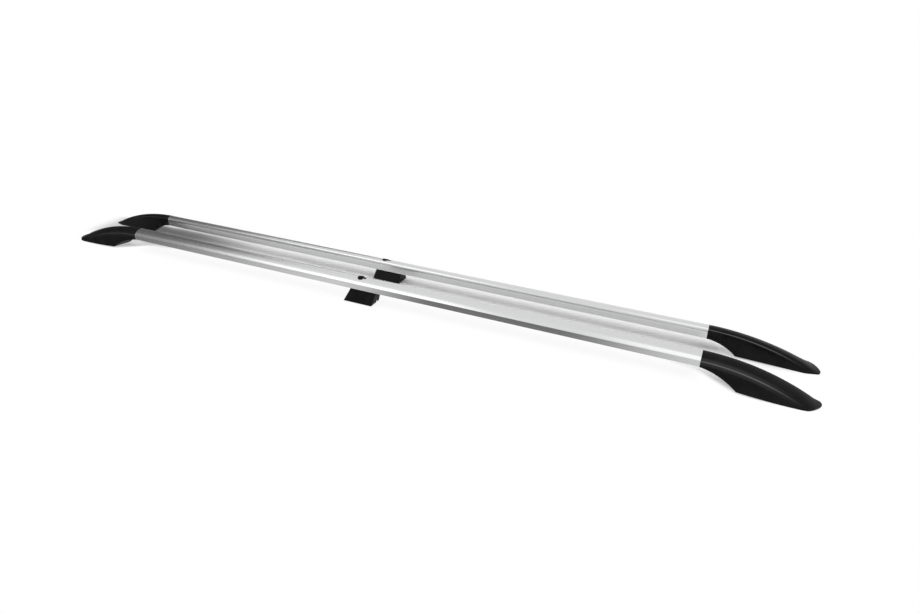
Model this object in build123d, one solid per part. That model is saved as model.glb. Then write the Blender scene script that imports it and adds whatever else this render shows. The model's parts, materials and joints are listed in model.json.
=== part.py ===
from build123d import *
import math
import os

# A pair of roof side rails, in millimetres.
# X runs along the rails with the front at +X, Y runs across the car with the left side at +Y, Z is up.
# The origin lies on the ground, midway between the two rails and midway along them.
# Everything is drawn once for the right rail, in its own frame, and mirrored for the left one.
# In that frame y is measured from the rail's middle line, and the outer side is negative.

# The rails
rail_length = 2008.0
rail_spacing = 162.0
rail_underside = 42.8
rail_width = 44.0
rail_wall = 2.0
outer_wall_height = 18.6
crown_height = 33.6
crown_offset = 9.0
edge_radius = 1.5

# The moulded feet
foot_length = 302.0
tip_thickness = 3.0
tip_offset = 1.0
base_flare = 19.5
base_bulge = 6.0
base_inner_inset = 1.5
lip_height = 4.5
crease_flare = 15.0
crease_flare_station = 240.0
heel_outer = 99.0
heel_inner = 83.0
heel_lift = 5.2
cove_sag = 8.0
toe_flat = 44.0
toe_radius = 48.0
toe_inner_taper = 4.0
toe_nose_length = 4.5
toe_lip_length = 6.0
foot_wall = 3.0
foot_shoulder = 8.0
loft_steps = 10
toe_solid = 30.0
rib_thickness = 2.2
rib_recess = 1.5
rib_spacing = 36.0

# The foot's tongue, which slides into the rail's end
tongue_length = 56.0
tongue_clearance = 0.3
tongue_wall = 3.2
tongue_floor = 10.0

# The screws that hold a tongue in its rail
screw_diameter = 4.2
screw_length = 10.0
screw_head_diameter = 8.4
screw_head_height = 2.4
screw_tip_chamfer = 1.0
screw_tip_room = 0.5
screw_clearance = 0.15
screw_margin = 16.0

# The threaded bush in each foot
bush_station = 190.0
bush_diameter = 13.0
bush_length = 22.0
bush_flange_diameter = 17.0
bush_flange_thickness = 1.5
bush_end_wall = 1.5
bush_bore = 6.8
bush_clearance = 0.1
bush_lift = 3.0
boss_length = 34.0
boss_width = 20.0

# The centre supports
support_middle = -39.5
support_length = 103.0
support_lift = 2.9
support_front_rake = 8.0
support_rear_rake = 17.0
support_base_outer = 37.4
support_base_inner = 15.0
support_top_outer = 20.5
support_top_inner = 20.0
support_neck_height = 2.5
support_neck_inner = 17.0
support_corner_radius = 4.0
support_edge_radius = 1.5
support_wall = 3.0
support_screw_spacing = 72.0
support_screw_length = 12.0
screw_head_room = 1.0
sleeve_diameter = 14.0
sleeve_bore = 9.0
sleeve_clearance = 0.1
sleeve_boss_wall = 3.0
support_rib_spacing = 30.0

# The bolt's place on the rail, its hole in the rail's floor, and the plug in the rail's top over it
floor_hole_diameter = 10.0
bolt_station = -44.5
bolt_offset = 3.0
plug_hole_diameter = 19.0
plug_clearance = 0.2
plug_head_diameter = 22.0
plug_head_thickness = 0.8
plug_stem_depth = 7.0
plug_stem_wall = 2.0
plug_tab_length = 7.5
plug_tab_width = 6.0

# Worked out from the sizes above
half_width = rail_width / 2
half_length = rail_length / 2
crown_z = rail_underside + crown_height
shoulder_radius = half_width - crown_offset
heel_middle = (heel_outer + heel_inner) / 2
toe_start = foot_length - toe_flat
base_outer = half_width + base_flare
bulge_middle = (heel_outer + foot_length) / 2
screw_stations = (screw_margin, tongue_length - screw_margin)
crest_run = foot_length - toe_lip_length
crest_fall = crown_z - tip_thickness
crest_radius = (crest_run**2 + crest_fall**2) / (2 * crest_fall)
crease_drop = crown_height - outer_wall_height
bush_seat = bush_lift + bush_flange_thickness
support_shelf_z = rail_underside - support_neck_height
support_screw_seat = support_shelf_z - support_wall
support_rear = support_middle - support_length / 2
support_front = support_middle + support_length / 2
support_top_middle = support_middle + (support_front_rake + support_rear_rake) / 2
rail_middle_z = rail_underside + crown_height / 2
on_ground = (Align.CENTER, Align.CENTER, Align.MIN)

# How far a cut runs past what it cuts, and the least step in an outline
cut_margin = 8.0
least_step = 1.0


def rail_section(inset=0.0):
    """The rail's outline, or its hollow's: flat floor, upright sides and a crown near the inner side."""
    half = half_width - inset
    top = crown_height - inset
    crease = (-half, outer_wall_height - inset)
    crown = (crown_offset, top)
    shoulder = (half, top - (half - crown_offset))
    outline = [
        Line((half, inset), (-half, inset)),
        Line((-half, inset), crease),
        TangentArc(crown, crease, tangent=(-1, 0)),
        TangentArc(crown, shoulder, tangent=(1, 0)),
        Line(shoulder, (half, inset)),
    ]
    return make_face(outline)


def along_rail(section, start, end):
    """A section drawn across the rail, run from start to end along it."""
    return extrude(Plane.YZ.offset(start) * Pos(0, rail_underside) * section, end - start)


def upright(diameter, x, bottom, top):
    """A cylinder standing on the rail's middle line."""
    return Pos(x, 0, bottom) * Cylinder(diameter / 2, top - bottom, align=on_ground)


def round_bolt(diameter, bottom, top):
    """A cylinder standing on the axis of the bolt that goes down through the rail and its support."""
    return Pos(0, bolt_offset, 0) * upright(diameter, bolt_station, bottom, top)


def support_screw_places():
    """Where the screws stand that hold a support to its rail."""
    return [support_top_middle + side * support_screw_spacing / 2 for side in (-1, 1)]


def rail_screw_places():
    """Where the screws stand that hold the feet and the support to the rail."""
    at_feet = [end * (half_length - station) for end in (-1, 1) for station in screw_stations]
    return at_feet + support_screw_places()


def make_rail():
    """The rail: a hollow extrusion with holes in its floor for screws and in its top for the plug."""
    section = rail_section()
    floor_corners = section.vertices().group_by(Axis.Y)[0]
    crease_corner = section.vertices().sort_by(Axis.X)[:2].sort_by(Axis.Y)[-1:]
    section = fillet(floor_corners + crease_corner, edge_radius)
    rail = along_rail(section - rail_section(rail_wall), -half_length, half_length)
    for x in rail_screw_places():
        rail -= upright(screw_diameter + 2 * screw_clearance, x, 0, rail_middle_z)
    rail -= round_bolt(floor_hole_diameter, 0, rail_middle_z)
    rail -= round_bolt(plug_hole_diameter, rail_middle_z, crown_z + cut_margin)
    return rail


def crest_z(d):
    """Height of the foot's crest, an arc that leaves the rail level and comes down to the toe's lip."""
    return crown_z - crest_radius + math.sqrt(crest_radius**2 - min(d, crest_run) ** 2)


def base_z(d):
    """Height of the foot's underside, flat under the toe and rising towards the heel."""
    return max(0.0, heel_lift * (toe_start - d) / (toe_start - heel_middle))


def base_spread(d):
    """How much of its spread the foot's base has: none at the rail, all from the heel on."""
    return 1 - (1 - min(d / heel_outer, 1)) ** 2


def base_edge(d):
    """How far out the foot's base reaches: it flares up to the heel, then bulges up to the toe."""
    bulge = 1 - ((d - bulge_middle) / (foot_length - bulge_middle)) ** 2
    return half_width + base_flare * base_spread(d) + base_bulge * max(bulge, 0)


def foot_section(d, inset=0.0):
    """The foot's outline at distance d from the rail, drawn down past its underside."""
    along = d / foot_length
    crest = crest_z(d) - inset
    lip = min(lip_height, crest / 2)
    least = lip + least_step
    base = inset - base_edge(d)
    crease_y = -(half_width + crease_flare * (d / crease_flare_station) ** 2) + inset
    crease = (max(crease_y, base + least_step), max(crest - crease_drop, least))
    crown = (crown_offset + (tip_offset - crown_offset) * along**3, crest)
    shoulder = (half_width - inset, max(crest - shoulder_radius + inset, least))
    inner = (half_width - inset - base_inner_inset * base_spread(d), -cut_margin)
    if d == 0:
        crease = (-half_width, crest - crease_drop)
    outline = [
        Line(inner, (base, -cut_margin)),
        Line((base, -cut_margin), (base, lip)),
        Line((base, lip), crease),
        TangentArc(crown, crease, tangent=(-1, 0)),
        TangentArc(crown, shoulder, tangent=(1, 0)),
        Line(shoulder, inner),
    ]
    section = make_face(outline)
    crease_corner = section.vertices().sort_by_distance(crease)[0]
    return Plane.YZ.offset(d) * fillet(crease_corner, edge_radius)


def foot_plan(inset=0.0):
    """The foot's outline from above: straight sides and a toe rounded mostly on the outer side."""
    tip = foot_length - inset
    outer = inset - base_outer - base_bulge
    inner = half_width - inset
    round_start = tip - toe_radius + inset
    bend = (tip, outer + toe_radius - inset)
    nose = (tip - toe_nose_length, inner - toe_inner_taper)
    outline = [
        Line((-cut_margin, 2 * outer), (round_start, 2 * outer)),
        Line((round_start, 2 * outer), (round_start, outer)),
        TangentArc((round_start, outer), bend, tangent=(1, 0)),
        TangentArc(bend, nose, tangent=(0, 1)),
        Line(nose, (toe_start, inner)),
        Line((toe_start, inner), (toe_start, 2 * inner)),
        Line((toe_start, 2 * inner), (-cut_margin, 2 * inner)),
        Line((-cut_margin, 2 * inner), (-cut_margin, 2 * outer)),
    ]
    return extrude(Pos(0, 0, -2 * cut_margin) * make_face(outline), crown_z + 4 * cut_margin)


def cove_profile(y, drop):
    """The space under the foot's neck at one side: an arc from the rail's underside to the heel."""
    slant = (heel_outer - heel_inner) / (base_outer + half_width - base_inner_inset)
    heel_d = heel_outer - slant * (y + base_outer)
    start = (0, rail_underside)
    heel = (heel_d, base_z(heel_d))
    chord = math.dist(start, heel)
    rise = cove_sag / chord
    middle = (
        (start[0] + heel[0]) / 2 + rise * (start[1] - heel[1]),
        (start[1] + heel[1]) / 2 + rise * (heel[0] - start[0]),
    )
    low = -2 * cut_margin
    outline = [
        Line((-2 * tongue_length, low), (-2 * tongue_length, start[1])),
        Line((-2 * tongue_length, start[1]), start),
        ThreePointArc(start, middle, heel),
        Line(heel, (heel_d, low)),
        Line((heel_d, low), (-2 * tongue_length, low)),
    ]
    return Plane.XZ.offset(-y) * Pos(drop, drop) * make_face(outline)


def cove(drop=0.0):
    """The whole space under the neck, whose heel line runs slantwise under the foot."""
    return loft([cove_profile(-2 * base_outer, drop), cove_profile(2 * half_width, drop)], ruled=True)


def below_base(lift=0.0):
    """All that lies under the foot's base."""
    start = -2 * tongue_length
    end = foot_length + cut_margin
    slope = heel_lift / (toe_start - heel_middle)
    outline = Polyline(
        (start, -4 * cut_margin),
        (start, slope * (toe_start - start) + lift),
        (toe_start, lift),
        (end, lift),
        (end, -4 * cut_margin),
        close=True,
    )
    return extrude(Plane.XZ * make_face(outline), 4 * base_outer, both=True)


def foot_loft(start, end, inset=0.0):
    """The foot's outline swept from one distance to another, trimmed to its shape from above."""
    stations = [start + (end - start) * step / loft_steps for step in range(loft_steps + 1)]
    return loft([foot_section(d, inset) for d in stations]) & foot_plan(inset)


def make_skin():
    """The foot's outer form, solid."""
    return foot_loft(0, foot_length) - cove() - below_base()


def make_room():
    """The hollow inside the foot's skin."""
    return foot_loft(foot_shoulder, foot_length - toe_solid, foot_wall) - cove(foot_wall)


def make_ribs(room):
    """Upright ribs that stiffen the foot from inside, trimmed to the room they stand in."""
    ribs = Pos(foot_length / 2, 0, 0) * Box(foot_length, rib_thickness, crown_z, align=on_ground)
    count = int((foot_length - toe_solid - foot_shoulder) / rib_spacing)
    for number in range(1, count + 1):
        d = foot_shoulder + number * rib_spacing
        ribs += Pos(d, 0, 0) * Box(rib_thickness, 4 * base_outer, crown_z, align=on_ground)
    return (ribs & room) - below_base(rib_recess)


def make_boss(room):
    """The rectangular block that holds the threaded bush."""
    block = Box(boss_length, boss_width, crown_z, align=on_ground)
    return Pos(bush_station, 0, bush_seat) * block & room


def make_tongue():
    """The block that slides into the rail, hollowed above a thick floor for the screws."""
    section = offset(rail_section(rail_wall), amount=-tongue_clearance)
    pocket = offset(rail_section(rail_wall), amount=-tongue_clearance - tongue_wall)
    floor = Rectangle(2 * rail_width, 2 * rail_width, align=(Align.CENTER, Align.MAX))
    pocket -= Pos(0, rail_wall + tongue_floor) * floor
    tongue = along_rail(section, -tongue_length, foot_shoulder / 2)
    tongue -= along_rail(pocket, -tongue_length, -tongue_wall)
    for station in screw_stations:
        hole_top = rail_underside + screw_length + screw_tip_room
        tongue -= upright(screw_diameter, -station, rail_underside, hole_top)
    return tongue


def make_foot():
    """A foot: a moulded skin with ribs, a boss for the bush and a tongue for the rail."""
    room = make_room()
    foot = make_skin() - room + make_ribs(room) + make_boss(room) + make_tongue()
    foot -= upright(bush_flange_diameter + 2 * bush_clearance, bush_station, 0, bush_seat)
    foot -= upright(bush_diameter + 2 * bush_clearance, bush_station, 0, bush_lift + bush_length)
    return foot


def make_bush():
    """The threaded bush: a flanged sleeve, blind at its top end."""
    bush_top = bush_lift + bush_length
    bush = upright(bush_diameter, bush_station, bush_lift, bush_top)
    bush += upright(bush_flange_diameter, bush_station, bush_lift, bush_seat)
    return bush - upright(bush_bore, bush_station, 0, bush_top - bush_end_wall)


def make_screw(x, head_top, length):
    """A pan head screw driven upwards, its head against the face at head_top."""
    head = upright(screw_head_diameter, x, head_top - screw_head_height, head_top)
    rim = head.edges().filter_by(GeomType.CIRCLE).sort_by(Axis.Z)[0]
    shank = upright(screw_diameter - 2 * screw_clearance, x, head_top, head_top + length)
    tip = shank.edges().filter_by(GeomType.CIRCLE).sort_by(Axis.Z)[-1]
    return chamfer(rim, screw_head_height / 2) + chamfer(tip, screw_tip_chamfer)


def make_foot_screws():
    """The screws that hold a foot's tongue in the rail."""
    return Compound([make_screw(-station, rail_underside, screw_length) for station in screw_stations])


def support_outline(z, inset=0.0):
    """The support's outline from above at height z, with rounded corners."""
    rise = (z - support_lift) / (support_shelf_z - support_lift)
    rear = support_rear + support_rear_rake * rise + inset
    front = support_front + support_front_rake * rise - inset
    outer = support_base_outer + (support_top_outer - support_base_outer) * rise - inset
    inner = support_base_inner + (support_top_inner - support_base_inner) * rise - inset
    outline = RectangleRounded(front - rear, outer + inner, support_corner_radius)
    return Pos((rear + front) / 2, (inner - outer) / 2, z) * outline


def make_support_shell():
    """The support's raked and flared body, with a ledge along its inner side and a neck above."""
    shell = loft([support_outline(support_lift), support_outline(support_shelf_z)], ruled=True)
    ledge = shell.edges().group_by(Axis.Z)[-1].sort_by(Axis.Y)[-1]
    shell = fillet(ledge, support_edge_radius)
    beside_neck = Rectangle(2 * support_length, support_length, align=(Align.CENTER, Align.MIN))
    neck = support_outline(support_shelf_z) - Pos(0, support_neck_inner, support_shelf_z) * beside_neck
    return shell + extrude(neck, rail_underside - support_shelf_z)


def make_support_room():
    """The hollow inside the support, open below."""
    outlines = [support_outline(z, support_wall) for z in (support_lift - cut_margin, support_shelf_z)]
    above = Box(2 * support_length, support_length, support_length, align=on_ground)
    return loft(outlines, ruled=True) - Pos(0, 0, support_screw_seat) * above


def make_support_ribs(room):
    """Ribs across the support beside its sleeve, and one along it."""
    tall = support_shelf_z - support_lift
    along = Box(2 * support_length, rib_thickness, tall, align=on_ground)
    ribs = Pos(support_middle, 0, support_lift) * along
    for x in (bolt_station - support_rib_spacing / 2, bolt_station + support_rib_spacing / 2):
        ribs += Pos(x, 0, support_lift) * Box(rib_thickness, 4 * base_outer, tall, align=on_ground)
    return ribs & room


def make_support():
    """A centre support: a moulded shell with ribs and a boss round its sleeve."""
    room = make_support_room()
    hole_diameter = sleeve_diameter + 2 * sleeve_clearance
    support = make_support_shell() - room + make_support_ribs(room)
    support += round_bolt(hole_diameter + 2 * sleeve_boss_wall, support_lift, support_shelf_z)
    support -= round_bolt(hole_diameter, 0, rail_underside)
    for x in support_screw_places():
        support -= upright(screw_head_diameter + 2 * screw_head_room, x, 0, support_screw_seat)
        support -= upright(screw_diameter, x, 0, rail_underside)
    return support


def make_sleeve():
    """The steel sleeve that carries the bolt's load through a support."""
    sleeve = round_bolt(sleeve_diameter, support_lift, rail_underside)
    return sleeve - round_bolt(sleeve_bore, 0, rail_underside)


def make_support_screws():
    """The screws that hold a support to the rail's floor."""
    return Compound([make_screw(x, support_screw_seat, support_screw_length) for x in support_screw_places()])


def make_plug():
    """The soft plug over the bolt: a head that lies on the rail's crown, a pull tab and a hollow stem."""
    above = along_rail(offset(rail_section(), amount=plug_head_thickness), -half_length, half_length)
    on_crown = above - along_rail(rail_section(), -half_length, half_length)
    top = crown_z + plug_head_thickness
    tab = Box(2 * plug_tab_length, plug_tab_width, top - rail_middle_z, align=on_ground)
    head = round_bolt(plug_head_diameter, rail_middle_z, top)
    head += Pos(bolt_station + plug_head_diameter / 2, bolt_offset, rail_middle_z) * tab
    stem_diameter = plug_hole_diameter - 2 * plug_clearance
    stem_bottom = crown_z - plug_stem_depth
    stem = round_bolt(stem_diameter, stem_bottom, top)
    pocket = round_bolt(stem_diameter - 2 * plug_stem_wall, stem_bottom, crown_z - plug_stem_wall)
    return (head & on_crown) + (stem & above) - pocket


def write(name, shape):
    """Place a piece of the right rail in the pair, and write it with its mirror image."""
    placed = Pos(0, -rail_spacing / 2, 0) * shape
    export_step(placed, f"parts/right_{name}.step")
    export_step(mirror(placed, about=Plane.XZ), f"parts/left_{name}.step")


def write_both_ends(name, shape):
    """Write a piece of the front foot, and its mirror image at the rear."""
    front = Pos(half_length, 0, 0) * shape
    write(f"front_{name}", front)
    write(f"rear_{name}", mirror(front, about=Plane.YZ))


os.makedirs("parts", exist_ok=True)
write("rail", make_rail())
write("support", make_support())
write("support_sleeve", make_sleeve())
write("support_screws", make_support_screws())
write("plug", make_plug())
write_both_ends("foot", make_foot())
write_both_ends("foot_bush", make_bush())
write_both_ends("foot_screws", make_foot_screws())
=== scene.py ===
import bpy
import json
import math
from mathutils import Matrix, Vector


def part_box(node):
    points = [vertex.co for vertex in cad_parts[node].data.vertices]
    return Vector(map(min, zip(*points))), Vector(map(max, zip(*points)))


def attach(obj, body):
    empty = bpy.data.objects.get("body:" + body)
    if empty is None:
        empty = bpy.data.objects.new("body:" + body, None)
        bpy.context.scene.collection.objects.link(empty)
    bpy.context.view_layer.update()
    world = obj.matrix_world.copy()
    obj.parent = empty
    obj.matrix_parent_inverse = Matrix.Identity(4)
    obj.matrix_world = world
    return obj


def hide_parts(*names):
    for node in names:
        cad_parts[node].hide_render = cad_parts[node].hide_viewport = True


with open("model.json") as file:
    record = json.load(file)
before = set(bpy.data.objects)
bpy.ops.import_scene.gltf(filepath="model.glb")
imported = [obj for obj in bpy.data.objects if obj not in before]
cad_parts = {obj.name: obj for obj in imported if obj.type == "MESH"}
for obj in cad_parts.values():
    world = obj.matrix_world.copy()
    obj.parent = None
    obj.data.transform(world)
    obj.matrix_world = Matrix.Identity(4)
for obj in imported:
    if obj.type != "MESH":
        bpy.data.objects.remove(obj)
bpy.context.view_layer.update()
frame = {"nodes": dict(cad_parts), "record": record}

nodes = frame["nodes"]
print("frame loaded:", len(nodes), "nodes")


# Shader maths: one wrapper round a socket, so that masks read as plain sums
class Value:
    def __init__(self, finish, socket):
        self.finish = finish
        self.socket = socket

    def combine(self, operation, first, second=None):
        return self.finish.node("ShaderNodeMath", {"operation": operation}, {0: first, 1: second})

    def __add__(self, other):
        return self.combine("ADD", self, other)

    def __radd__(self, other):
        return self.combine("ADD", other, self)

    def __sub__(self, other):
        return self.combine("SUBTRACT", self, other)

    def __rsub__(self, other):
        return self.combine("SUBTRACT", other, self)

    def __mul__(self, other):
        return self.combine("MULTIPLY", self, other)

    def __rmul__(self, other):
        return self.combine("MULTIPLY", other, self)

    def size(self):
        return self.combine("ABSOLUTE", self)

    def between(self, low, high, atLow=0.0, atHigh=1.0):
        # A soft step from atLow to atHigh
        limits = {"From Min": low, "From Max": high, "To Min": atLow, "To Max": atHigh}
        settings = {"interpolation_type": "SMOOTHSTEP"}
        return self.finish.node("ShaderNodeMapRange", settings, {"Value": self, **limits})

    def fade(self, low, high):
        return self.between(low, high, 1.0, 0.0)


class Finish:
    # A material with its Principled shader, or a world, ready for more nodes
    def __init__(self, owner):
        owner.use_nodes = True
        self.owner = owner
        self.tree = owner.node_tree

    def node(self, kind, settings=None, sockets=None, output=0):
        made = self.tree.nodes.new(kind)
        for name, setting in (settings or {}).items():
            setattr(made, name, setting)
        for name, value in (sockets or {}).items():
            if value is not None:
                self.fill(made.inputs[name], value)
        self.last = made
        return Value(self, made.outputs[output])

    def fill(self, socket, value):
        if isinstance(value, Value):
            self.tree.links.new(value.socket, socket)
        else:
            socket.default_value = value

    def shader(self):
        return self.tree.nodes["Principled BSDF"]

    def give(self, **sockets):
        for name, value in sockets.items():
            self.fill(self.shader().inputs[name.replace("_", " ")], value)

    def coordinates(self, scale=(1, 1, 1)):
        place = self.node("ShaderNodeTexCoord", output="Object")
        return self.node("ShaderNodeMapping", None, {"Vector": place, "Scale": scale})

    def axes(self, names):
        # The named axes of the Object coordinates
        place = self.node("ShaderNodeTexCoord", output="Object")
        self.node("ShaderNodeSeparateXYZ", None, {"Vector": place})
        return [Value(self, self.last.outputs[name]) for name in names]

    def noise(self, where, scale, detail=2.0, rough=0.5):
        sockets = {"Vector": where, "Scale": scale, "Detail": detail, "Roughness": rough}
        return self.node("ShaderNodeTexNoise", None, sockets)

    def blend(self, mask, first, second):
        sockets = {0: mask, 6: first, 7: second}  # the colour inputs of a Mix node are 6 and 7
        return self.node("ShaderNodeMix", {"data_type": "RGBA"}, sockets, output=2)

    def bump(self, height, strength, distance):
        sockets = {"Height": height, "Strength": strength, "Distance": distance}
        return self.node("ShaderNodeBump", None, sockets)


def newFinish(name):
    return Finish(bpy.data.materials.new(name))


# In all the looks below, lengths are in metres. A noise is its scale, detail and roughness, and
# a bump its strength and depth. A range is where a mask starts and where it is full, and then
# the mask's values there, unless they are 0 and 1.

# Satin anodised aluminium, drawn along its length
railLook = {
    "colour": (0.67, 0.672, 0.676, 1), "deepColour": (0.64, 0.642, 0.648, 1),
    "roughness": 0.25, "roughSpread": 0.05,  # half of it each way
    "maskRange": (0.3, 0.7),
    "lineStretch": (2.0, 900.0, 900.0), "lineNoise": (1.0, 3.0, 0.6), "lineShare": 0.6,
    "lineBump": (0.08, 0.00001),
    "cloudStretch": (3.0, 14.0, 14.0), "cloudNoise": (1.0, 2.0), "cloudShare": 0.4,
}


def makeRailFinish():
    look = railLook
    made = newFinish("satinRail")
    lines = made.noise(made.coordinates(look["lineStretch"]), *look["lineNoise"])
    cloud = made.noise(made.coordinates(look["cloudStretch"]), *look["cloudNoise"])
    mask = lines.between(*look["maskRange"]) * look["lineShare"]
    mask = mask + cloud.between(*look["maskRange"]) * look["cloudShare"]
    made.give(
        Base_Color=made.blend(mask, look["deepColour"], look["colour"]),
        Metallic=1.0,
        Roughness=look["roughness"] + (mask - 0.5) * look["roughSpread"],
        Normal=made.bump(lines, *look["lineBump"]),
    )
    return made.owner


# Black moulded plastic with a fine grain
plasticLook = {
    "colour": (0.0025, 0.0025, 0.0027, 1), "paleColour": (0.006, 0.006, 0.0063, 1), "level": 0.10,
    "roughness": 0.40, "roughSpread": 0.06, "roughRange": (0.3, 0.7),
    "cloudNoise": (30.0, 3.0), "cloudRange": (0.35, 0.7),
    "grainNoise": (1400.0, 2.0, 0.6), "grainBump": (0.35, 0.00005),
}
# Painted highlights on the feet's edges, a lighter line and a sheen, weaker to the left. Their
# lines start at the joint with the rail and follow the crest down to the toe.
paintedHighlightLook = {
    "colour": (0.11, 0.11, 0.112, 1), "roughness": 0.26, "grainRange": (0.2, 0.6, 0.6, 1.0),
    "line": 0.0022, "halo": 0.013, "haloShare": 0.22,
    "joint": 1.004, "middle": 0.081, "halfWidth": 0.022, "flare": 0.2604,
    "creaseHeight": 0.0610, "shoulderHeight": 0.0700, "shoulderIn": 0.0030,
    "fall": 0.789, "lateFall": 0.49, "toeFade": (0.12, 0.28), "rearToFront": (-1.0, 1.0, 0.3, 1.0),
}


def paintedHighlightMask(made):
    # Painted highlight: 1 on the outer crease and the inner shoulder of a foot, and less in a
    # painted sheen round the crease
    look = paintedHighlightLook
    x, y, z = made.axes("XYZ")
    along = x.size() - look["joint"]
    square = along * along
    fall = square * (look["fall"] + square * look["lateFall"])
    outward = y.size() - look["middle"]
    creaseOff = outward - look["halfWidth"] - square * look["flare"]
    creaseDown = z + fall - look["creaseHeight"]
    shoulderOff = outward + look["halfWidth"] - look["shoulderIn"]
    shoulderDown = z + fall - look["shoulderHeight"]
    creaseGap = creaseOff * creaseOff + creaseDown * creaseDown
    shoulderGap = shoulderOff * shoulderOff + shoulderDown * shoulderDown
    line = creaseGap.fade(0.0, look["line"] ** 2) + shoulderGap.fade(0.0, look["line"] ** 2)
    halo = creaseGap.fade(0.0, look["halo"] ** 2) * look["haloShare"]
    return (line + halo) * along.fade(*look["toeFade"]) * x.between(*look["rearToFront"])


def makePlasticFinish(name, highlighted):
    look = plasticLook
    made = newFinish(name)
    where = made.coordinates()
    grain = made.noise(where, *look["grainNoise"])
    cloud = made.noise(where, *look["cloudNoise"])
    colour = made.blend(cloud.between(*look["cloudRange"]), look["colour"], look["paleColour"])
    roughness = look["roughness"] + cloud.between(*look["roughRange"]) * look["roughSpread"]
    if highlighted:
        # painted highlight along the feet's crease and shoulder, broken up by the grain, with a
        # glossier roughness there
        edge = paintedHighlightMask(made) * grain.between(*paintedHighlightLook["grainRange"])
        colour = made.blend(edge, colour, paintedHighlightLook["colour"])
        roughness = roughness + edge * (paintedHighlightLook["roughness"] - look["roughness"])
    made.give(
        Base_Color=colour,
        Roughness=roughness,
        Specular_IOR_Level=look["level"],
        Normal=made.bump(grain, *look["grainBump"]),
    )
    return made.owner


# Soft black rubber of the plugs
plugLook = {
    "colour": (0.002, 0.002, 0.002, 1), "paleColour": (0.004, 0.004, 0.004, 1), "level": 0.08,
    "roughness": 0.6, "roughSpread": 0.08,
    "grainNoise": (900.0, 3.0, 0.6), "grainRange": (0.3, 0.7), "grainBump": (0.3, 0.00004),
}


def makePlugFinish():
    look = plugLook
    made = newFinish("softPlug")
    grain = made.noise(made.coordinates(), *look["grainNoise"])
    mask = grain.between(*look["grainRange"])
    made.give(
        Base_Color=made.blend(mask, look["colour"], look["paleColour"]),
        Roughness=look["roughness"] + mask * look["roughSpread"],
        Specular_IOR_Level=look["level"],
        Normal=made.bump(grain, *look["grainBump"]),
    )
    return made.owner


# Zinc plated steel of the bushes, sleeves and screws, with fine turning rings up their height
steelLook = {
    "colour": (0.60, 0.60, 0.58, 1), "dullColour": (0.45, 0.45, 0.44, 1),
    "roughness": 0.32, "roughSpread": 0.12, "cloudNoise": (160.0, 3.0), "cloudRange": (0.35, 0.7),
    "ringsAcross": 60.0, "bushRings": 2500.0, "screwRings": 900.0,
    "ringNoise": (1.0, 2.0), "ringBump": (0.3, 0.00004),
}


def makeSteelFinish(name, ringsUp):
    look = steelLook
    made = newFinish(name)
    cloud = made.noise(made.coordinates(), *look["cloudNoise"])
    stretch = (look["ringsAcross"], look["ringsAcross"], ringsUp)
    rings = made.noise(made.coordinates(stretch), *look["ringNoise"])
    mask = cloud.between(*look["cloudRange"])
    made.give(
        Base_Color=made.blend(mask, look["dullColour"], look["colour"]),
        Metallic=1.0,
        Roughness=look["roughness"] + cloud * look["roughSpread"],
        Normal=made.bump(rings, *look["ringBump"]),
    )
    return made.owner


finishes = {
    "rail": makeRailFinish(),
    "foot": makePlasticFinish("highlightedPlastic", True),
    "support": makePlasticFinish("grainedPlastic", False),
    "plug": makePlugFinish(),
    "steel": makeSteelFinish("turnedSteel", steelLook["bushRings"]),
    "screw": makeSteelFinish("screwSteel", steelLook["screwRings"]),
}
slots = {part["node"]: part["material_slot"] for part in frame["record"]["subparts"]}
for name, node in nodes.items():
    node.data.materials.clear()
    node.data.materials.append(finishes["support" if name.endswith("_support") else slots[name]])
print("finishes set")


# Small steps of modelling that several pieces share, and how closely they work: metres, degrees
closeness = {"merge": 0.000001, "rim": 0.00001, "smoothAngle": 30}


def clearSelection():
    bpy.ops.object.select_all(action="DESELECT")


def pickOnly(piece):
    clearSelection()
    piece.select_set(True)
    bpy.context.view_layer.objects.active = piece


def settled():
    # The active piece, once its place, turn and scale are in its mesh
    bpy.ops.object.transform_apply(location=True, rotation=True, scale=True)
    return bpy.context.object


def moveTo(piece, place):
    pickOnly(piece)
    piece.location = place
    return settled()


def copyTo(source, place):
    made = source.copy()
    made.data = source.data.copy()
    bpy.context.scene.collection.objects.link(made)
    return moveTo(made, place)


def addCylinder(radius, bottom, top, sides):
    clearSelection()
    place = (0, 0, (bottom + top) / 2)
    bpy.ops.mesh.primitive_cylinder_add(
        vertices=sides, radius=radius, depth=top - bottom, location=place)
    return settled()


def pickEdges(piece, low, high):
    # Edit mode, with only the edges selected whose ends lie between two heights
    bpy.ops.object.mode_set(mode="EDIT")
    bpy.ops.mesh.select_mode(type="EDGE")
    bpy.ops.mesh.select_all(action="DESELECT")
    bpy.ops.object.mode_set(mode="OBJECT")
    points = piece.data.vertices
    for edge in piece.data.edges:
        edge.select = all(low <= points[end].co.z <= high for end in edge.vertices)
    bpy.ops.object.mode_set(mode="EDIT")


def roundRim(piece, height, width, steps):
    pickEdges(piece, height - closeness["rim"], height + closeness["rim"])
    bpy.ops.mesh.bevel(offset=width, segments=steps, affect="EDGES")
    bpy.ops.object.mode_set(mode="OBJECT")


def mergePoints(piece):
    # Edit mode, with all of the piece selected and its doubles merged
    bpy.context.view_layer.objects.active = piece
    bpy.ops.object.mode_set(mode="EDIT")
    bpy.ops.mesh.select_all(action="SELECT")
    bpy.ops.mesh.remove_doubles(threshold=closeness["merge"])


def applyModifier(piece, kind, settings):
    modifier = piece.modifiers.new(kind.lower(), kind)
    for name, setting in settings.items():
        setattr(modifier, name, setting)
    bpy.context.view_layer.objects.active = piece
    bpy.ops.object.modifier_apply(modifier=modifier.name)


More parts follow.
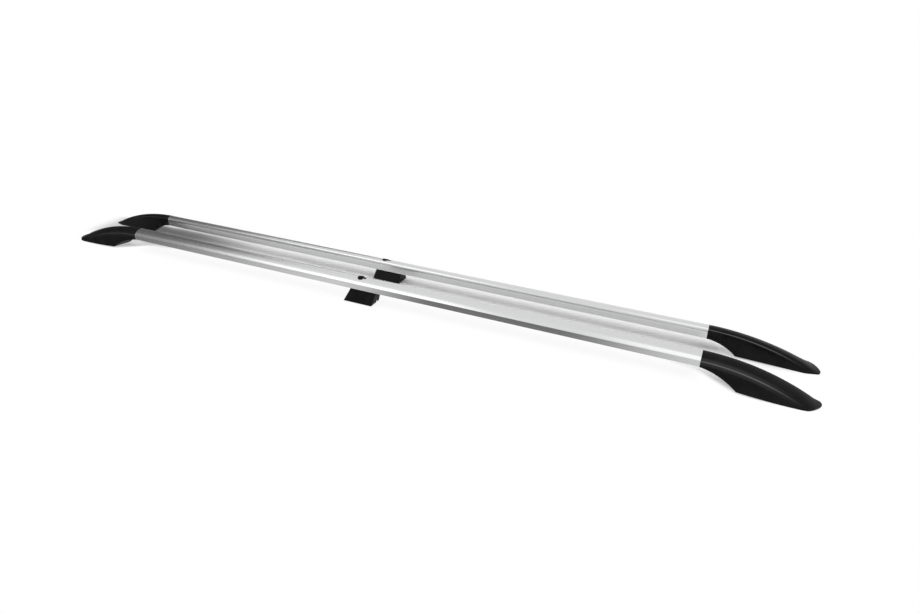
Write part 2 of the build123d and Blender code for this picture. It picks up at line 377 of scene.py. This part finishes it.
def makeHelix(look, outward, start, turns):
    # A three sided ridge wound round the Z axis, its edge pointing outwards or inwards
    clearSelection()
    lean = (math.radians(90), math.radians(90 if outward else -90), 0)
    bpy.ops.mesh.primitive_circle_add(
        vertices=3, radius=look["ridge"], fill_type="NOTHING",
        location=(look["threadRadius"], 0, start), rotation=lean)
    ridge = settled()
    steps = look["threadSteps"]
    winding = {"axis": "Z", "screw_offset": look["pitch"], "iterations": turns,
               "steps": steps, "render_steps": steps}
    applyModifier(ridge, "SCREW", winding)
    mergePoints(ridge)
    bpy.ops.mesh.fill_holes(sides=4)
    bpy.ops.mesh.normals_make_consistent(inside=False)
    bpy.ops.object.mode_set(mode="OBJECT")
    return ridge


def joinPieces(pieces, name):
    clearSelection()
    for piece in pieces:
        piece.select_set(True)
    bpy.context.view_layer.objects.active = pieces[0]
    bpy.ops.object.join()
    pieces[0].name = name
    return pieces[0]


def finishPiece(piece, slot):
    pickOnly(piece)
    bpy.ops.object.shade_smooth_by_angle(angle=math.radians(closeness["smoothAngle"]))
    piece.data.materials.clear()
    piece.data.materials.append(finishes[slot])
    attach(piece, "root")


def nodesOf(kind):
    return sorted(name for name in nodes if name.endswith("_" + kind))


# Pan head screws with a cross recess and a coarse thread, their heads hanging down
screwLook = {
    "headRadius": 0.0042, "headHeight": 0.0024, "headRound": 0.0011,
    "headSides": 32, "headSteps": 4,
    "recessWidth": 0.0009, "recessLength": 0.0046, "recessDepth": 0.0014, "recessTaper": 0.6,
    "coreRadius": 0.0015, "coreSides": 16, "tip": 0.0009, "tipSteps": 2,
    "coreInHead": 0.25,  # how far up the core starts in the head, as a share of its height
    "threadRadius": 0.00153, "ridge": 0.00042, "pitch": 0.0014, "threadSteps": 16,
    "threadRoom": 1.5,  # clear of each end, in ridges
}


def cutRecess(head, low):
    # Two crossed slots in the head's outer face, narrower at their bottom
    look = screwLook
    size = (look["recessWidth"], look["recessLength"], 2 * look["recessDepth"])
    for turn in (0, 90):
        clearSelection()
        bpy.ops.mesh.primitive_cube_add(
            size=1.0, location=(0, 0, low), scale=size, rotation=(0, 0, math.radians(turn)))
        cutter = settled()
        pickEdges(cutter, low, 0.0)
        taper = look["recessTaper"]
        bpy.ops.transform.resize(value=(taper, taper, 1.0), center_override=(0, 0, 0))
        bpy.ops.object.mode_set(mode="OBJECT")
        cut = {"operation": "DIFFERENCE", "object": cutter, "solver": "EXACT"}
        applyModifier(head, "BOOLEAN", cut)
        bpy.data.objects.remove(cutter)


def makeScrew(length):
    look = screwLook
    low = -look["headHeight"]
    head = addCylinder(look["headRadius"], low, 0.0, look["headSides"])
    roundRim(head, low, look["headRound"], look["headSteps"])
    cutRecess(head, low)
    core = addCylinder(look["coreRadius"], low * look["coreInHead"], length, look["coreSides"])
    roundRim(core, length, look["tip"], look["tipSteps"])
    start = look["threadRoom"] * look["ridge"]
    turns = int((length - 2 * start - look["tip"]) / look["pitch"])
    thread = makeHelix(look, True, start, turns)
    return joinPieces([head, core, thread], "screwPattern")


def makeScrews():
    look = screwLook
    for name in nodesOf("screws"):
        low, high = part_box(name)
        pattern = makeScrew(high.z - low.z - look["headHeight"])
        ends = (low.x + look["headRadius"], high.x - look["headRadius"])
        middle = (low.y + high.y) / 2
        copies = [copyTo(pattern, (x, middle, low.z + look["headHeight"])) for x in ends]
        pair = joinPieces(copies, name.replace("_screws", "_threadedScrews"))
        bpy.data.objects.remove(pattern)
        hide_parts(name)
        finishPiece(pair, "screw")
    print("screws made")


# The thread inside each bush
bushThreadLook = {
    "threadRadius": 0.0035, "ridge": 0.00035, "pitch": 0.00125, "threadSteps": 24,
    "start": 0.0008, "endRoom": 0.0032,
}


def makeBushThreads():
    look = bushThreadLook
    for name in nodesOf("bush"):
        low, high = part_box(name)
        turns = int((high.z - low.z - look["start"] - look["endRoom"]) / look["pitch"])
        ridge = makeHelix(look, False, look["start"], turns)
        ridge.name = name + "Thread"
        moveTo(ridge, ((low.x + high.x) / 2, (low.y + high.y) / 2, low.z))
        finishPiece(ridge, "steel")
    print("bush threads made")


# The feet's toes, drawn in and thinned from a start towards the tip
toeLook = {"start": 1.262, "tip": 1.306, "middle": 0.0835, "narrower": 0.34, "thinner": 0.35}


def makeToes():
    look = toeLook
    for name in nodesOf("foot"):
        clearSelection()
        foot = bpy.data.objects.new(name.replace("_foot", "_drawnFoot"), nodes[name].data.copy())
        bpy.context.scene.collection.objects.link(foot)
        mergePoints(foot)
        bpy.ops.object.mode_set(mode="OBJECT")
        for point in foot.data.vertices:
            along = (abs(point.co.x) - look["start"]) / (look["tip"] - look["start"])
            if along > 0:
                middle = math.copysign(look["middle"], point.co.y)
                narrower = 1 - look["narrower"] * along ** 2
                point.co.y = middle + (point.co.y - middle) * narrower
                point.co.z *= 1 - look["thinner"] * along ** 2
        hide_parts(name)
        finishPiece(foot, "foot")
    print("toes made")


makeScrews()
makeBushThreads()
makeToes()


# The stage. Its front, back, left and right are as the camera sees them: -Y, +Y, -X and +X
white, black = (1, 1, 1, 1), (0, 0, 0, 1)
# The rays to which the floor and the room are white: those that a viewer sees by
seenRays = ("Is Camera Ray", "Is Glossy Ray", "Is Transmission Ray")


def seenMask(finish):
    finish.node("ShaderNodeLightPath")
    kinds = [Value(finish, finish.last.outputs[ray]) for ray in seenRays]
    return sum(kinds[1:], kinds[0])


# The floor, white to the eye, which keeps the shadows near the rails
floorLook = {
    "size": 30.0, "colour": (0.93, 0.93, 0.93, 1), "roughness": 0.9, "lift": 0.06,
    # where the shadows end, before, behind and beyond the rails
    "frontReach": 0.12, "backReach": (0.97, 1.05, 0.21, 0.12), "acrossFade": 0.05,
    "endFade": (1.28, 1.38),
    # the line in front of the rails past which the shadows pale, and its shift at the feet
    "frontFade": 0.03, "frontWhite": (0.97, 1.02, 0.88, 1.0),
    "endShift": (0.84, 0.98, 0.0, 0.025), "coveShift": (0.97, 1.14, 0.0, 0.09),
    "coveWhite": (0.99, 1.07, 0.0, 0.42),
    # a painted shadow: the floor's colour darkened in a strip between the rails, towards their
    # rear ends, where the cove under the feet stays dark too
    "shadeInner": (-0.06, 0.0), "shadeOuter": (0.115, 0.15), "shadeAlong": (-0.95, -0.55),
    "rearShade": 0.7, "rearCove": (-1.28, -1.06), "rearCoveShade": 0.86,
}


def makeFloor():
    look = floorLook
    clearSelection()
    bpy.ops.mesh.primitive_plane_add(size=look["size"])
    floor = bpy.context.object
    floor.name = "floor"
    made = newFinish("paleFloor")
    x, y = made.axes("XY")
    along = x.size()
    forward = -1 * y
    # painted shadow: the floor's colour darkens in a strip between the rails, towards their rear
    # ends
    paintedShadowStrip = y.between(*look["shadeInner"]) * y.fade(*look["shadeOuter"])
    paintedShadowStrip = paintedShadowStrip * x.fade(*look["shadeAlong"])
    made.give(
        Base_Color=made.blend(paintedShadowStrip * look["rearShade"], look["colour"], black),
        Roughness=look["roughness"],
        Specular_IOR_Level=0.0,
        Emission_Color=white,
        Emission_Strength=look["lift"],
    )
    farBack = (y - along.between(*look["backReach"])).between(0.0, look["acrossFade"])
    farFront = (forward - look["frontReach"]).between(0.0, look["acrossFade"])
    beyondEnds = along.between(*look["endFade"])
    shift = along.between(*look["endShift"]) + along.between(*look["coveShift"])
    inFront = (forward - shift).between(0.0, look["frontFade"])
    inFront = inFront * along.between(*look["frontWhite"])
    atRearCove = paintedShadowStrip * x.between(*look["rearCove"]) * look["rearCoveShade"]
    atCoves = along.between(*look["coveWhite"]) * (1 - atRearCove)
    kept = (1 - farBack) * (1 - farFront) * (1 - beyondEnds) * (1 - inFront) * (1 - atCoves)
    glow = made.node("ShaderNodeEmission", None, {"Color": white, "Strength": 1.0})
    body = Value(made, made.shader().outputs[0])
    mixed = {0: (1 - kept) * seenMask(made), 1: body, 2: glow}
    surface = made.node("ShaderNodeMixShader", None, mixed)
    made.fill(made.tree.nodes["Material Output"].inputs["Surface"], surface)
    floor.data.materials.append(made.owner)


# Studio light: a wide panel overhead, which gloss doesn't show, and two soft boxes, which it does
lampLooks = {
    "overheadPanel": {
        "place": (0.8, -0.6, 2.0), "size": (6.6, 3.0), "radiance": 1.6, "mirrored": False},
    "rearBox": {
        "place": (-1.5, -1.25, 1.98), "size": (2.0, 1.3), "radiance": 0.9, "mirrored": True},
    "frontBox": {
        "place": (1.15, -0.9, 1.98), "size": (1.2, 1.0), "radiance": 0.6, "mirrored": True},
}


def makeLamps():
    for name, look in lampLooks.items():
        width, depth = look["size"]
        data = bpy.data.lights.new(name, "AREA")
        data.shape = "RECTANGLE"
        data.size = width
        data.size_y = depth
        data.energy = look["radiance"] * math.pi * width * depth  # in watts
        lamp = bpy.data.objects.new(name, data)
        lamp.location = look["place"]
        lamp.visible_camera = False
        lamp.visible_glossy = look["mirrored"]
        bpy.context.scene.collection.objects.link(lamp)


# The room, which lights everything weakly and is white to the eye and in reflections
roomLook = {"strength": 0.16}


def makeRoom():
    world = bpy.data.worlds.new("room")
    bpy.context.scene.world = world
    made = Finish(world)
    background = made.tree.nodes["Background"]
    strength = roomLook["strength"] + seenMask(made) * (1 - roomLook["strength"])
    made.fill(background.inputs["Color"], white)
    made.fill(background.inputs["Strength"], strength)


# Glowing flags that only gloss sees, which paint the reflections that the rails mirror: walls at
# the left and the front, and two cards on the floor
def makeFlag(name, place, size, turn, finish):
    clearSelection()
    angles = [math.radians(angle) for angle in turn]
    bpy.ops.mesh.primitive_plane_add(size=1.0, location=place, rotation=angles)
    bpy.context.object.scale = (*size, 1.0)
    flag = settled()
    flag.name = name
    flag.data.materials.append(finish.owner)
    flag.visible_camera = False
    flag.visible_diffuse = False
    flag.visible_shadow = False


def giveGlow(finish, colour):
    # The flag shows its own colour and takes no light
    finish.give(
        Base_Color=black, Specular_IOR_Level=0.0, Emission_Color=colour, Emission_Strength=1.0)
    return finish


# The left wall is in two parts that meet at the step, and the front one darkens towards it
wallLook = {
    "left": -3.0, "right": 4.2, "front": -4.2, "step": 2.2, "back": 5.5,
    "leftHeight": 3.0, "backHeight": 1.9, "frontHeight": 2.0,
    "backColour": (0.2, 0.2, 0.2, 1), "frontColour": (0.85, 0.85, 0.85, 1),
    "leftTurn": (-1.2, -0.2), "leftDark": (0.13, 0.13, 0.13, 1), "leftPale": (0.36, 0.36, 0.36, 1),
}


def makeWalls():
    look = wallLook
    left, right, front, step, back = (
        look[edge] for edge in ("left", "right", "front", "step", "back"))
    turning = newFinish("turningFlag")
    y, = turning.axes("Y")
    shade = turning.blend(y.fade(*look["leftTurn"]), look["leftDark"], look["leftPale"])
    height = look["leftHeight"]
    makeFlag("leftFlag", (left, (step + front) / 2, height / 2), (height, step - front),
             (0, 90, 0), giveGlow(turning, shade))
    height = look["backHeight"]
    makeFlag("backFlag", (left, (back + step) / 2, height / 2), (height, back - step),
             (0, 90, 0), giveGlow(newFinish("greyFlag"), look["backColour"]))
    height = look["frontHeight"]
    makeFlag("frontFlag", ((right + left) / 2, front, height / 2), (right - left, height),
             (90, 0, 0), giveGlow(newFinish("palerFlag"), look["frontColour"]))


# Both cards lie just above the floor, before the rails and between them, darker to the left:
# painted dark reflections in the rails' walls
cardLook = {
    "place": (-0.05, -0.36, 0.001), "size": (2.3, 0.44),
    "rearEnd": (-1.2, -0.1, 0.22, 0.88),
    "dipStart": (-0.2, 0.2), "dipEnd": (0.55, 1.05), "dip": 0.66,
}
innerCardLook = {
    "place": (-0.09, -0.02, 0.001), "size": (2.16, 0.074), "rearEnd": (-1.1, -0.35, 0.14, 0.70),
}


def makeCards():
    look = cardLook
    card = newFinish("gradedCard")
    x, = card.axes("X")
    # a darker dip in the painted reflection along the near rail's side
    dip = x.between(*look["dipStart"]) * x.fade(*look["dipEnd"]) * look["dip"]
    giveGlow(card, card.blend(x.between(*look["rearEnd"]) - dip, black, white))
    makeFlag("floorCard", look["place"], look["size"], (0, 0, 0), card)
    look = innerCardLook
    card = newFinish("innerCard")
    x, = card.axes("X")
    giveGlow(card, card.blend(x.between(*look["rearEnd"]), black, white))
    makeFlag("innerCard", look["place"], look["size"], (0, 0, 0), card)


# The camera, at the photograph's place: metres, degrees, and millimetres for the lens
cameraLook = {
    "place": (1.0297, -1.7119, 1.0), "yaw": 23.98, "pitch": 27.97, "roll": 0.745,
    "lens": 26.17, "sensor": 36.0,
}


def makeCamera():
    look = cameraLook
    data = bpy.data.cameras.new("camera")
    data.lens = look["lens"]
    data.sensor_width = look["sensor"]
    camera = bpy.data.objects.new("camera", data)
    bpy.context.scene.collection.objects.link(camera)
    turn = Matrix.Rotation(math.radians(look["yaw"]), 4, "Z")
    tilt = Matrix.Rotation(math.radians(90 - look["pitch"]), 4, "X")
    roll = Matrix.Rotation(math.radians(look["roll"]), 4, "Z")
    camera.matrix_world = Matrix.Translation(look["place"]) @ turn @ tilt @ roll
    bpy.context.scene.camera = camera


makeFloor()
makeLamps()
makeRoom()
makeWalls()
makeCards()
makeCamera()
bpy.context.scene.view_settings.view_transform = "Standard"
print("stage set")
